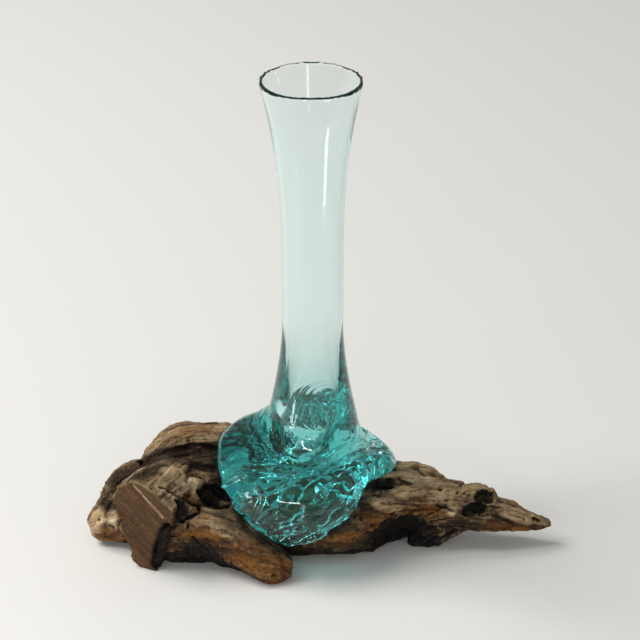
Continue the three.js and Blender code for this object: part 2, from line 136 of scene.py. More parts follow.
def nearness(points, path, reach):
    """1 on a path and 0 from reach millimetres away from it."""
    path = np.array(path, float)
    nearest = np.full(len(points), np.inf)
    for start, end in zip(path[:-1], path[1:]):
        run = end - start
        share = np.clip((points - start) @ run / (run @ run), 0, 1)
        nearest = np.minimum(nearest, np.linalg.norm(points - start - share[:, None] * run, axis=1))
    return np.clip(1 - nearest / reach, 0, 1)


def dome(points, middle, reach):
    """A soft dome over one place: 1 in its middle and 0 from reach millimetres away."""
    return smoothstep(0, 1, nearness(points, [middle, np.add(middle, 0.01)], reach))


def around_spot(points, middle, half):
    """Below 1 inside an ellipsoid with these half sizes and above 1 outside it."""
    return np.linalg.norm((points - middle) / np.array(half, float), axis=1)


def piece_from(form, name):
    """A finished or half-made bmesh, in millimetres, as an object of the scene."""
    mesh = bpy.data.meshes.new(name)
    bmesh.ops.scale(form, vec=(0.001, 0.001, 0.001), verts=form.verts)
    form.to_mesh(mesh)
    form.free()
    piece = bpy.data.objects.new(name, mesh)
    bpy.context.scene.collection.objects.link(piece)
    return piece


def settle(piece):
    """Makes a piece's modifiers part of its mesh."""
    depsgraph = bpy.context.evaluated_depsgraph_get()
    settled = bpy.data.meshes.new_from_object(piece.evaluated_get(depsgraph), depsgraph=depsgraph)
    piece.modifiers.clear()
    piece.data = settled


def reskin(piece, size):
    """A new skin of small even quads, size millimetres wide, over a closed piece."""
    skin = piece.modifiers.new("skin", "REMESH")
    skin.mode = "VOXEL"
    skin.voxel_size = size / 1000
    skin.adaptivity = 0
    settle(piece)


def merged_copy(node, name):
    """A copy of a node of the frame with its loose triangles joined."""
    form = bmesh.new()
    form.from_mesh(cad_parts[node].data)
    bmesh.ops.remove_doubles(form, verts=form.verts, dist=1e-6)
    bmesh.ops.scale(form, vec=(1000, 1000, 1000), verts=form.verts)
    return piece_from(form, name)


def record_value(mesh, name, values, domain="POINT"):
    """Keeps a number or a vector for each vertex or corner, for the material to read."""
    kind, key = ("FLOAT_VECTOR", "vector") if values.ndim == 2 else ("FLOAT", "value")
    data = mesh.attributes.new(name, kind, domain).data
    data.foreach_set(key, values.astype(np.float32).ravel())


# How wide the small quads of each piece's skin are, in millimetres
root_skin_size = 0.83
glass_skin_size = 1.0


# Root: where its fibres run
strands = {  # each follows a limb, as places with the limb's half width and half height there
    "trunk and branch": [
        (-122, -9, 7, 4, 5), (-106, -4, 14, 14, 15), (-90, 0, 20, 23, 20), (-62, 0, 19, 29, 23),
        (-34, -1, 16, 29, 21), (0, -1, 16, 29, 21), (24, -2, 18, 26, 20), (42, -3, 19, 21, 19),
        (60, -3, 18, 18, 17), (76, -5, 23, 14, 11), (89, -8, 21, 12, 10), (103, -9, 17, 9, 9),
        (118, -10, 14, 6, 5), (131, -10, 12, 2, 2)],
    "slab": [
        (-91, 13, 30, 6, 6), (-84, 17, 37, 10, 10), (-74, 20, 42, 14, 12), (-60, 22, 43, 14, 12),
        (-40, 21, 41, 13, 10), (-14, 16, 26, 9, 8)],
    "ridge": [
        (-112, -4, 22, 5, 5), (-98, 0, 32, 11, 11), (-87, 3, 33, 12, 12), (-72, 4, 37, 13, 13),
        (-56, 4, 37, 13, 12), (-38, 3, 32, 10, 8)],
    "lumps before the ridge": [
        (-98, -8, 26, 6, 8), (-84, -12, 33, 10, 10), (-70, -14, 35, 11, 10), (-54, -13, 35, 9, 8),
        (-42, -8, 26, 6, 8)],
    "stub": [
        (-72, 2, 26, 16, 22), (-80, -16, 27, 17, 26), (-90, -37, 28, 18, 28), (-98, -53, 28, 18, 28)],
    "splinter": [
        (-86, -25, 38, 6, 11), (-76, -27, 35, 6, 9), (-66, -28, 30, 5, 6), (-58, -28, 26, 2, 3)],
    "belly and toe": [
        (-86, -22, 12, 10, 13), (-70, -25, 16, 13, 17), (-54, -26, 17, 13, 17), (-40, -32, 15, 12, 15),
        (-28, -41, 11, 9, 11), (-18, -45, 9, 8, 9), (-10, -47, 8, 4, 5)],
    "knob": [
        (-6, -14, 16, 8, 14), (8, -20, 17, 10, 14), (20, -23, 19, 9, 10), (30, -22, 20, 4, 4)],
    "front roll": [
        (24, -15, 26, 7, 8), (38, -16, 30, 8, 7), (52, -15, 31, 8, 7), (66, -12, 28, 6, 6),
        (80, -10, 26, 4, 5)],
    "leg": [
        (95, -8, 25, 6, 6), (86, -9, 21, 7, 7), (75, -9, 13, 7, 6), (63, -10, 5, 7, 5),
        (55, -10, -3, 5, 4)],
    "knuckle": [
        (76, -6, 26, 6, 6), (84, -6, 26, 9, 9), (92, -7, 26, 10, 10), (101, -9, 22, 5, 5)],
    "back roll": [
        (20, 12, 26, 7, 7), (38, 17, 28, 8, 7), (50, 19, 28, 7, 7), (60, 18, 28, 6, 7),
        (76, 12, 22, 3, 3)],
}


def drawn_out(strand, step=2.5):
    """A strand as close, even samples, with the ways that its fibres, their side and their top face."""
    rows = np.array(strand, float)
    runs = np.linalg.norm(np.diff(rows[:, :3], axis=0), axis=1)
    length = np.concatenate([[0], np.cumsum(runs)])
    at = np.linspace(0, length[-1], max(int(length[-1] / step), 3))
    rows = np.stack([np.interp(at, length, rows[:, k]) for k in range(5)], axis=1)
    for _ in range(4):
        rows[1:-1] = (rows[:-2] + 2 * rows[1:-1] + rows[2:]) / 4
    fibre = np.gradient(rows[:, :3], axis=0)
    fibre /= np.linalg.norm(fibre, axis=1, keepdims=True)
    side = np.cross([0, 0, 1], fibre)
    side /= np.linalg.norm(side, axis=1, keepdims=True)
    top = np.cross(fibre, side)
    return {"at": at, "middle": rows[:, :3], "half": rows[:, 3:], "fibre": fibre, "side": side, "top": top}


limbs = [drawn_out(strand) for strand in strands.values()]
limb_apart = 400  # the grain of each limb starts this much farther on, so that no two look alike


def grain_of(points, index):
    """Places along and across the fibres of one limb, and how far out each lies, 1 being that limb's skin."""
    limb = limbs[index]
    batch = 20000
    nearest = np.empty(len(points), int)
    for start in range(0, len(points), batch):
        part = points[start:start + batch]
        nearest[start:start + batch] = ((part[:, None] - limb["middle"]) ** 2).sum(2).argmin(1)
    offset = points - limb["middle"][nearest]
    along = (offset * limb["fibre"][nearest]).sum(1)
    across = (offset * limb["side"][nearest]).sum(1)
    rise = (offset * limb["top"][nearest]).sum(1)
    half = limb["half"][nearest]
    past_end = np.maximum(np.abs(along) - 3, 0)
    depth = np.sqrt((across / half[:, 0]) ** 2 + (rise / half[:, 1]) ** 2 + (past_end / half.min(1)) ** 2)
    place_in_grain = np.stack([limb["at"][nearest] + along + limb_apart * index, across, rise], axis=1)
    return place_in_grain, depth


# Root: single features, as millimetre places on the wood
cracks = [  # path, half width, depth
    ([(-60.7, -27, 33.4), (-60.7, -29.2, 31.4), (-65.3, -33.9, 32.3), (-69.6, -34, 30.1),
      (-73.7, -38.1, 30.2), (-77.2, -43.4, 32.1)], 1.4, 3.4),  # the long one between the stub and the toe
    ([(-77.2, -43, 32), (-79.5, -42, 27.8), (-80.8, -41.1, 22.6), (-82.6, -39.9, 17.3),
      (-83.5, -39.2, 12.9), (-84.7, -38.1, 3.7)], 4.0, 4.4),  # and its wide end
    ([(-80.8, -34.1, 52.5), (-77.6, -34.3, 50.2), (-73.5, -33.6, 46.8), (-69.4, -31.8, 42.8),
      (-65.5, -27.1, 37.5), (-60.7, -26.4, 34.1)], 1.1, 1.8),  # down the splinter
    ([(-66.9, -36.4, 28.5), (-63.8, -37.5, 20.8), (-60.1, -37.2, 17.4)], 1.1, 2.2),
    ([(-104, -6, 36), (-96, -6, 42), (-86, -5, 45), (-76, -5, 46), (-64, -4, 46), (-53, -4, 45)], 3.4, 1.6),
    ([(-98, 4, 40), (-88, 9, 43), (-77, 9, 48), (-67, 10, 50), (-56, 10, 49), (-48, 9, 46)], 2.2, 1.6),
    ([(97, -17, 23), (105, -17, 19), (114, -16, 15), (122, -14, 12)], 1.2, 1.4),
    ([(100, -8, 27), (108, -12, 24), (116, -13, 20), (125, -12, 16)], 1.0, 1.0),
    ([(58, -19, 32), (66, -17, 29), (74, -17, 27), (84, -17, 22)], 1.5, 1.6),
    ([(6, -26, 31), (18, -25, 31), (30, -23, 33)], 1.6, 1.8),
    ([(-110, -12, 27), (-112, -14, 20), (-108, -18, 12)], 1.6, 1.8),
    ([(-70, 28, 48), (-55, 32, 45), (-40, 31, 42), (-28, 27, 36)], 1.8, 2.0),
    ([(30, 20, 33), (44, 25, 31), (56, 26, 28)], 1.3, 1.6),
    ([(44, -16, 39), (52, -15, 39.5), (60, -14, 38)], 1.2, 1.0),
]
pits = [  # middle, half width, depth
    ((70.4, -6, 33.4), 2.2, 2.2), ((73.6, -15.4, 31.5), 2.2, 2.4), ((79, -9, 32.6), 1.8, 1.6),
    ((98.5, -9.5, 30.5), 2.6, 2.4), ((123.5, -8.2, 17.5), 1.8, 1.6), ((121.5, -12.8, 16.6), 1.4, 1.4),
    ((-20, -51.6, 6.5), 3.0, 2.2), ((-102.7, -31, 28.1), 1.5, 1.8), ((-71.5, -19.6, 50), 1.6, 1.2),
    ((-116, -13, 17), 2.2, 1.4), ((15, 26, 30), 3.5, 2.0), ((-88, 22, 30), 3.0, 2.0),
    ((70, 8, 28), 3.0, 2.0), ((-61, -15, 37), 5.0, 2.0), ((41, -24, 24), 3.0, 1.6), ((54, -21, 26), 2.4, 1.4),
]
bumps = [  # middle, half width, height
    ((-75, -18, 51), 6.5, 2.0), ((-70, -17, 49), 4.5, 1.4), ((-62, -18, 44), 5.0, 2.0),
    ((49, -17, 39), 6.0, 1.6), ((60, -16, 37), 4.5, 1.4), ((77, -8, 32), 2.6, 1.4),
    ((76.5, -13, 31), 2.4, 1.6), ((75.5, -16.5, 28), 2.2, 1.4), ((17, -30, 21), 5.0, 1.2),
    ((27, -28, 22), 3.5, 1.4), ((-113, -12, 24), 5.0, 1.4), ((-119, -11, 12), 4.0, 1.2),
    ((57, 17, 34), 3.0, 1.4), ((100, -17, 14), 3.0, 0.8), ((110, -15, 11), 2.6, 0.8),
    ((-30, -48, 13), 4.0, 0.8), ((66, 13, 32), 3.0, 1.2), ((-92, -27, 54), 4.0, 1.0),
]
softened = [  # middle and half sizes of the hollows whose rims are worn round: the slot and the pocket
    ((45, -8, 38), (12, 5.5, 9)), ((-52, -18, 36), (11, 8, 6)),
]
black_shade_places = [  # middle and half sizes of each place painted black as shade, and how black; its wood is also roughened
    ((53, -31, -3), (28, 25, 27), 1.0), ((48, -24, 6), (20, 20, 18.5), 1.0),  # the arch
    ((42, -9.5, 34), (12, 8, 5), 0.92),  # the slot
    ((94.5, -11, 31), (5, 4, 3.4), 1.0), ((88.5, -16, 26.5), (7.5, 4, 3), 1.0),  # the two eyes
    ((-54, -16, 35), (10.5, 11, 9), 0.94),  # the pocket
    ((-62, -40, 3), (23, 15, 13.5), 1.0),  # under the belly
    ((-71, -34, 37), (5.5, 5, 6.5), 1.0),  # the notch beside the splinter
]
kerf = [(-94.7, -36.3, 54.3), (-79.2, -42.7, 37.9)]  # a pale scratch that the saw left across the cut face
kerf_reach = 1.0
saw_point = np.array([-90, -37, 28.0])
saw_normal = np.array([-0.42, -0.88, -0.05])
saw_normal /= np.linalg.norm(saw_normal)

tint_strokes = {  # where the wood is darker, ochre or paler than elsewhere: path, reach
    "dark": [
        ([(-104, -4, 36), (-92, -3, 43), (-78, 2, 46), (-62, 3, 46), (-48, 2, 45)], 17),
        ([(-82, 25, 52), (-70, 27, 55), (-54, 27, 55)], 4), ([(-50, -30, 30), (-44, -36, 27)], 6),
        # the first stroke here, the black band beside the crack right of the cut face, is painted shadow
        ([(-80, -41, 27), (-83, -39, 4)], 8), ([(-112, -8, 25), (-104, -12, 24), (-100, -18, 30)], 10),
        ([(34, -24, 26), (30, -20, 30)], 8), ([(88, -14, 22), (74, -16, 10), (60, -16, 4)], 13),
        # the first stroke here, low under the belly, is painted shade
        ([(-64, -34, 8), (-48, -34, 8), (-36, -34, 14)], 10), ([(98, -12, 24), (100, -16, 20)], 5),
        # this stroke, the band under the slab's overhang, is painted shadow
        ([(-96, 10, 38), (-84, 12, 44), (-70, 11, 47), (-56, 10, 46)], 5),
        ([(-81, -14, 53), (-87, -22, 54), (-94, -31, 55)], 8), ([(-68, -40, 18), (-50, -42, 17)], 9),
    ],
    "ochre": [
        ([(-38, -44, 14), (-28, -47, 12), (-10, -50, 8)], 15), ([(-70, -38, 24), (-52, -40, 24)], 6),
        ([(33, -26, 24), (48, -23, 26), (66, -19, 27)], 9), ([(-88, -40, 6), (-85, -40, 14)], 5),
        ([(-116, -14, 8), (-104, -18, 8)], 8), ([(8, -34, 18), (24, -32, 18)], 9),
        ([(96, -18, 14), (116, -15, 11)], 7),
    ],
    "pale": [
        ([(-77, -20, 51), (-70, -20, 49), (-64, -21, 45)], 7), ([(-118, -13, 19), (-120, -12, 11)], 8),
        ([(-109, -16, 22), (-109, -18, 14)], 4),
        ([(-82, -34, 53.5), (-75, -35, 48.5), (-70, -33, 44), (-63, -29, 36)], 2.6),
        ([(77, -8, 32), (76, -18, 26)], 4), ([(44, -2, 39), (54, 0, 38), (64, 5, 35), (73, 9, 30)], 9),
        ([(50, 15, 32), (62, 13, 30), (72, 12, 29)], 6), ([(48, -16, 40), (58, -14, 39), (70, -10, 35)], 9),
        ([(36, -22, 33), (46, -21, 31)], 5), ([(104, -13, 23), (118, -13, 18)], 5), (kerf, 0.8),
    ],
}


def limbs_at(points):
    """The two limbs whose fibres each point shows, and the second one's share, a half where the two meet."""
    depths = np.stack([grain_of(points, i)[1] for i in range(len(limbs))], axis=1)
    order = np.argsort(depths, axis=1)[:, :2]
    best = np.take_along_axis(depths, order, axis=1)
    return order, 0.5 * (1 - smoothstep(0, 0.16, best[:, 1] - best[:, 0]))


def fibre_relief(points, order, second_share):
    """How far the wood stands out, in millimetres, from its folds, fibres, drying cracks, chips and rot."""

    def in_grain(pattern):
        """A pattern drawn along the fibres, blended where one limb grows into the next."""
        total = np.zeros(len(points))
        for rank, share in ((0, 1 - second_share), (1, second_share)):
            for i in range(len(limbs)):
                here = np.flatnonzero((order[:, rank] == i) & (share > 0.01))
                if len(here):
                    total[here] += share[here] * pattern(grain_of(points[here], i)[0])
        return total

    # Each pattern is divided by its length along the fibres and its width and height across them
    swell = in_grain(lambda g: layered(g / (22, 11, 11), 2, 3))
    broad = in_grain(lambda g: noise(g / (30, 10, 10) + 0.3 * noise(g / (17, 12, 12), 43)[:, None], 47))
    folds = in_grain(lambda g: noise(g / (34, 6.5, 6.5), 11))
    lines = in_grain(lambda g: noise(g / (26, 3.1, 3.1) + 0.35 * noise(g / (9, 5, 5), 5)[:, None], 17))
    fibres = in_grain(lambda g: layered(g / (11, 1.5, 1.5), 2, 23))
    chips = in_grain(lambda g: noise(g / (10, 3.8, 3.8) + 0.3 * noise(g / 6, 65)[:, None], 63))
    grooves = np.clip(1 - np.abs(folds) / 0.16, 0, 1)
    checks = np.clip(1 - np.abs(lines) / 0.1, 0, 1) * smoothstep(-0.1, 0.35, noise(points / 17, 31))
    crumbs = layered(points / 3.4, 2, 41)
    rot = smoothstep(0.35, 0.75, noise(points / 9, 53)) * np.clip(noise(points / 2.6, 57), 0, 1)

    # The branch keeps its fibres, while the left end is worn smooth between a few broad folds
    worn = smoothstep(0.25, -0.2, noise(points / 19, 37))
    fibrous = 0.18 + 0.82 * smoothstep(20, 52, points[:, 0])
    lift = 0.7 * swell + (0.9 - 0.5 * fibrous) * broad
    lift += fibrous * (0.5 * folds + 0.3 * lines + 0.14 * fibres)
    lift += 0.2 * crumbs
    lift += (0.55 - 0.25 * fibrous) * (smoothstep(0.12, 0.24, chips) - smoothstep(-0.2, -0.32, chips))
    split = (0.1 + 0.9 * fibrous) * (0.35 + 0.65 * worn) * (1.5 * grooves ** 1.5 + 1.3 * checks)
    return lift - (split + 1.4 * rot * fibrous)


def add_features(lift, points, sawn):
    """Adds the single features to the lift. Also gives where the colour is painted black as shade, and how
    near to a crack each point is.
    """
    ragged = 0.3 * layered(points / 4, 3, 29)
    painted_black_shade = np.max([weight * smoothstep(1.1, 0.85, around_spot(points, middle, half) + ragged)
                      for middle, half, weight in black_shade_places], axis=0)
    lift -= painted_black_shade * np.clip(1.6 * layered(points / 4, 2, 33), -0.6, 2)
    wandering = points + 0.5 * layered(points / 3.5, 2, 35)[:, None]
    beside_crack = np.zeros(len(points))
    for path, reach, depth in cracks:
        near = nearness(wandering, path, reach)
        beside_crack = np.maximum(beside_crack, nearness(points, path, 2 * reach + 1))
        lift -= depth * smoothstep(0, 1, near)
        # the deeper cracks are painted black as shade
        painted_black_shade = np.maximum(painted_black_shade, min(depth / 2.4, 1) * smoothstep(0.05, 0.4, near))
    for middle, reach, depth in pits:
        lift -= depth * dome(points, middle, reach)
    for middle, reach, height in bumps:
        lift += height * dome(points, middle, reach)
    scratch = 0.3 * smoothstep(0, 1, nearness(points, kerf, kerf_reach))
    lift += sawn * (0.08 * noise(points / 2.2, 91) - scratch)
    return lift, painted_black_shade, beside_crack


def gap_to_glass(points, farthest=14.0):
    """How far each point is from the glass, in millimetres, and at most this far."""
    glass = surface_of(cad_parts["glass_vase"])
    gap = np.full(len(points), farthest)
    for i, point in enumerate(points):
        found = glass.find_nearest(Vector(point / 1000), farthest / 1000)
        if found[0] is not None:
            gap[i] = found[3] * 1000
    return gap


def openness(piece, points, normals, reach=45):
    """How much of the room each point sees, from 0 to 1, with the piece itself and the floor in the way."""
    count = 18
    golden_angle = 2.39996
    solid = surface_of(piece)
    turn = np.arange(count) * golden_angle
    rise = 1 - (np.arange(count) + 0.5) / (count / 2)
    level = np.sqrt(1 - rise ** 2)
    ways = np.stack([level * np.cos(turn), level * np.sin(turn), rise], axis=1)
    towards = np.clip(normals @ ways.T - 0.1, 0, 1)
    to_floor = points[:, 2:] / np.maximum(-ways[:, 2], 1e-3)
    seen = np.where((ways[:, 2] < 0) & (to_floor < reach), 0.25, 1.0)
    starts = (points + 0.6 * normals) / 1000
    for k, way in enumerate(ways):
        direction = Vector(way)
        for i in np.flatnonzero((towards[:, k] > 0) & (seen[:, k] == 1)):
            if solid.ray_cast(Vector(starts[i]), direction, reach / 1000)[0] is not None:
                seen[i, k] = 0
    return (seen * towards).sum(1) / towards.sum(1)


def tints_at(points):
    """How dark, ochre and pale each point is, from the strokes."""
    tints = np.zeros((len(points), 3))
    for column, strokes in enumerate(tint_strokes.values()):
        for path, reach in strokes:
            ragged = points + 0.22 * reach * layered(points / 9, 3, 59 + column)[:, None]
            stroke = smoothstep(0, 0.75, nearness(ragged, path, reach))
            tints[:, column] = np.maximum(tints[:, column], stroke)
    return tints


def record_grain(mesh, points, limb_of_point):
    """Keeps each corner's place in the grain. All corners of a face take the grain of one limb."""
    faces = np.repeat(np.arange(len(mesh.polygons)), [len(p.vertices) for p in mesh.polygons])
    corner_vertex = np.empty(len(mesh.loops), np.int32)
    mesh.loops.foreach_get("vertex_index", corner_vertex)
    first = np.searchsorted(faces, np.arange(len(mesh.polygons)))
    limb_of_corner = limb_of_point[corner_vertex[first]][faces]
    grain = np.empty((len(mesh.loops), 3))
    for i in range(len(limbs)):
        here = limb_of_corner == i
        grain[here] = grain_of(points[corner_vertex[here]], i)[0]
    record_value(mesh, "grain", grain / 1000, "CORNER")


def make_root():
    root = merged_copy("root", "weathered_root")
    reskin(root, root_skin_size)
    mesh = root.data
    edges = edges_of(mesh)
    raw = points_of(mesh)
    standing = raw[:, 2] < 0.35  # what stands on the floor stays flat
    points = relax(raw, edges, 16)
    rim = np.min([around_spot(points, *spot) for spot in softened], axis=0)
    points += smoothstep(1.6, 1.3, rim)[:, None] * (relax(points, edges, 30, push=0) - points)
    place(mesh, points)
    normals = normals_of(mesh)

    off_cut = np.abs((points - saw_point) @ saw_normal)
    sawn = smoothstep(1.2, 0.5, off_cut) * smoothstep(0.8, 0.93, normals @ saw_normal)
    rough = (1 - sawn) * smoothstep(0.2, 3, points[:, 2])
    order, second_share = limbs_at(points)
    lift = rough * fibre_relief(points, order, second_share)
    lift, painted_black_shade, beside_crack = add_features(lift, points, sawn)

    # Under and beside the glass the wood only loses height, so that the glass still lifts off
    gap = gap_to_glass(points)
    lift = np.where(lift > 0, lift * np.clip((gap - 1.2) / 2.8, 0, 1), lift)
    shaped = points + normals * lift[:, None]
    shaped[:, 2] = np.maximum(shaped[:, 2], 0)
    shaped[standing, 2] = 0
    place(mesh, shaped)

    # What the weather and the hot glass have done, and the shade painted into the colour, for the material to
    # read
    normals = normals_of(mesh)
    softer = relax(shaped, edges, 10, push=0)
    softest = relax(softer, edges, 90, push=0)
    # hollow is above 0 in small hollows, painted dark as shade, and below 0 on worn crests, made paler
    hollow = ((softer - shaped) * normals).sum(1) / 0.45
    # recess: wide hollows, painted dark as shade
    recess = ((softest - shaped) * normals).sum(1) / 1.6
    # shade: painted shade, darker where a point sees less of the room
    shade = 1 - relax(openness(root, shaped, normals)[:, None], edges, 7, push=0)[:, 0]
    tints = tints_at(points)
    own = 1 - tints[:, 1:] @ (0.4, 0.6)  # ochre and pale places keep their colour against the shade
    # scorch and painted shade: darkest 2 to 9 mm off the glass and lighter right under it
    beside_glass = smoothstep(9, 2, gap + 2.2 * layered(points / 7, 2, 83)) * (1 - 0.85 * tints[:, 2])
    weather_and_painted_shade = {
        "hollow": np.clip(hollow, np.where(beside_crack > 0.1, -0.15, -1), 1),
        "recess": np.clip(recess, -1, 1) * own,
        "shade": shade * own,
        "sawn": sawn,
        "painted_black_shade": painted_black_shade,
        "scorch_and_shade": beside_glass * (1 - 0.6 * smoothstep(1.8, 0.7, gap)),
        "tints": tints,
    }
    for name, values in weather_and_painted_shade.items():
        record_value(mesh, name, values)
    record_grain(mesh, points, order[:, 0])
    return root


root = make_root()
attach(root, "root")
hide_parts("root")


# Vase: how it was blown. Heights are measured from the top of the trunk, where the glass sits.
saddle = 38
vase_height = 238
rim_radius = 27
waist_radius = 16.2
waist_top = 137
waist_bottom = 94
upper_flare = 2.2
lower_flare = 1.6
neck_sway = 0.6
neck_wall = 2.4
lip_wall = 1.9
lip_tilt = 1.4
collar_radius = 23.4
collar_height = 42
floor_thickness = 8.5
floor_slope = 0.45
hollow_belly = 2
hollow_lean = -5
hollow_forward = 4
lobes = np.array([  # azimuth, reach, crown, bulge, hem
    (12, 47, 17, 4, -5), (60, 38, 25, 6, -8), (100, 38, 28, 5, -13), (145, 42, 34, 16, -2),
    (185, 51, 35, 22, 6), (216, 54, 31, 10, -8), (256, 51, 27, -1, -21), (298, 43, 25, 3, -10),
    (330, 36, 23, 9, 1)], float)


def around(column, azimuth):
    """A size of the foot that changes smoothly round the axis, from that of one lobe to that of the next."""
    at = np.concatenate([lobes[:, 0] - 360, lobes[:, 0], lobes[:, 0] + 360])
    value = np.tile(lobes[:, column], 3)
    slope = (value[2:] - value[:-2]) / (at[2:] - at[:-2])
    i = np.searchsorted(at, azimuth, side="right") - 1
    width = at[i + 1] - at[i]
    t = (azimuth - at[i]) / width
    return (value[i] * (2 * t ** 3 - 3 * t ** 2 + 1) + slope[i - 1] * width * (t ** 3 - 2 * t ** 2 + t)
            + value[i + 1] * (3 * t ** 2 - 2 * t ** 3) + slope[i] * width * (t ** 3 - t ** 2))


def neck_radius(height):
    above = np.maximum(height - waist_top, 0) / (vase_height - waist_top)
    below = np.maximum(waist_bottom - height, 0) / (waist_bottom - collar_height)
    flare = waist_radius + (rim_radius - waist_radius) * above ** upper_flare
    return np.where(height > waist_bottom, flare,
                    waist_radius + (collar_radius - waist_radius) * below ** lower_flare)


def sway(height):
    return neck_sway * np.sin(np.pi * np.clip(height, 0, vase_height) / vase_height)


def on_curve(places, t):
    """A place on the smooth curve through these places, with t counting them from the first."""
    last = len(places) - 1
    i = min(int(t), last - 1)
    w = t - i
    p, q, r, s = (np.array(places[min(max(k, 0), last)]) for k in (i - 1, i, i + 1, i + 2))
    a, b = (r - p) / 2, (s - q) / 2
    return (2 * q - 2 * r + a + b) * w ** 3 + (-3 * q + 3 * r - 2 * a - b) * w ** 2 + a * w + q


def blown_rows(sides):
    """The vase's skin as rings, from under the foot up the outside, over the lip and down to its floor."""
    azimuth = np.arange(sides) * 360 / sides
    cos, sin = np.cos(np.radians(azimuth)), np.sin(np.radians(azimuth))
    reach, crown, bulge, hem = (around(k, azimuth) for k in (1, 2, 3, 4))
    out = reach - collar_radius
    flat = np.ones(sides)
    above_collar = collar_height + 6
    meridian = [
        (neck_radius(above_collar) * flat, above_collar * flat),
        (collar_radius * flat, collar_height * flat),
        (collar_radius + 0.3 * out, crown),
        (collar_radius + 0.8 * out, crown - 0.45 * (crown - bulge)),
        (reach, bulge),
        (reach - 2.4, 0.6 * hem + 0.4 * bulge - 1),
        (reach - 12, hem),
        (0.5 * reach, -8 * flat),
        (3 * flat, -9 * flat)]
    rows = []

    def ring(radius, height, lean=0, forward=0, slope=0):
        x = sway(height) + lean + radius * cos
        rows.append(np.stack([x, radius * sin - forward, saddle + height + slope * radius * cos], axis=1))

    ring(0.0 * flat, -9 * flat)
    for t in np.linspace(8, 1, 120):
        ring(*on_curve(meridian, t))
    lip_height = vase_height - lip_wall / 2
    for height in np.linspace(collar_height, lip_height, 140)[1:]:
        ring(neck_radius(height) * flat, height * flat)
    for turn in np.radians(np.arange(15, 180, 15)):
        radius = rim_radius - lip_wall / 2 * (1 - math.cos(turn))
        ring(radius * flat, (vase_height - lip_wall / 2 * (1 - math.sin(turn))) * flat)

    def hollow_ring(radius, height, slope=0):
        low = smoothstep(0, 31, 52 - height)
        swollen = radius * (1 + hollow_belly / waist_radius * low)
        ring(swollen * flat, height * flat, hollow_lean * low, hollow_forward * low, slope)

    def bore(height):
        wall = neck_wall - 0.5 * smoothstep(190, 232, height)  # thinner towards the lip
        return neck_radius(max(height, waist_bottom)) - wall

    for height in np.linspace(lip_height, collar_height, 140):
        hollow_ring(bore(height), height)
    for turn in np.linspace(0, np.pi / 2, 40)[1:]:
        height = floor_thickness + (collar_height - floor_thickness) * (1 - math.sin(turn))
        hollow_ring(bore(collar_height) * max(math.cos(turn), 0) ** 0.7, height, floor_slope * math.sin(turn))
    return np.array(rows)


def skin_over(rows, name):
    """A closed skin over rows of rings, whose first and last ring are single points."""
    count, sides = rows.shape[:2]
    form = bmesh.new()
    bmesh.ops.create_grid(form, x_segments=sides, y_segments=count - 1, size=1)
    for vertex in form.verts:
        row = round((vertex.co.y + 1) / 2 * (count - 1))
        vertex.co = rows[row, round((vertex.co.x + 1) / 2 * sides) % sides]
    bmesh.ops.remove_doubles(form, verts=form.verts, dist=1e-3)
    bmesh.ops.recalc_face_normals(form, faces=form.faces)
    return piece_from(form, name)


def wood_under_glass():
    """All the room that the wood takes from the glass, down from its top, as one block.
    The melt bridged the finest cracks, so the block's top is smoother than the wood."""
    low, high, deep = (-62, -62), (58, 52), -30
    clearance = 0.3
    steps = (high[0] - low[0], high[1] - low[1])
    wood = surface_of(root)
    tops = np.full((steps[0] + 1, steps[1] + 1), np.nan)
    for i, j in np.ndindex(tops.shape):
        hit = wood.ray_cast(Vector((low[0] + i, low[1] + j, 200)) / 1000, Vector((0, 0, -1)))[0]
        if hit is not None:
            tops[i, j] = hit.z * 1000
    there = ~np.isnan(tops)
    known = np.where(there, tops, deep)
    shifts = [(i, j) for i in (-1, 0, 1) for j in (-1, 0, 1)]
    highest = np.max([np.roll(known, shift, (0, 1)) for shift in shifts], axis=0)
    soft, weight = np.where(there, highest, 0), there.astype(float)
    for _ in range(5):
        soft = np.mean([np.roll(soft, shift, (0, 1)) for shift in shifts], axis=0)
        weight = np.mean([np.roll(weight, shift, (0, 1)) for shift in shifts], axis=0)
    bridged = np.where(there, soft / np.maximum(weight, 1e-6), highest)
    top = np.maximum(bridged, highest) + clearance
    form = bmesh.new()
    bmesh.ops.create_grid(form, x_segments=steps[0], y_segments=steps[1], size=1)
    for vertex in form.verts:
        i = round((vertex.co.x + 1) / 2 * steps[0])
        j = round((vertex.co.y + 1) / 2 * steps[1])
        vertex.co = (low[0] + i, low[1] + j, top[i, j])
    grown = bmesh.ops.extrude_face_region(form, geom=form.faces[:])
    for vertex in (item for item in grown["geom"] if isinstance(item, bmesh.types.BMVert)):
        vertex.co.z = deep - 10
    bmesh.ops.recalc_face_normals(form, faces=form.faces)
    return piece_from(form, "room")


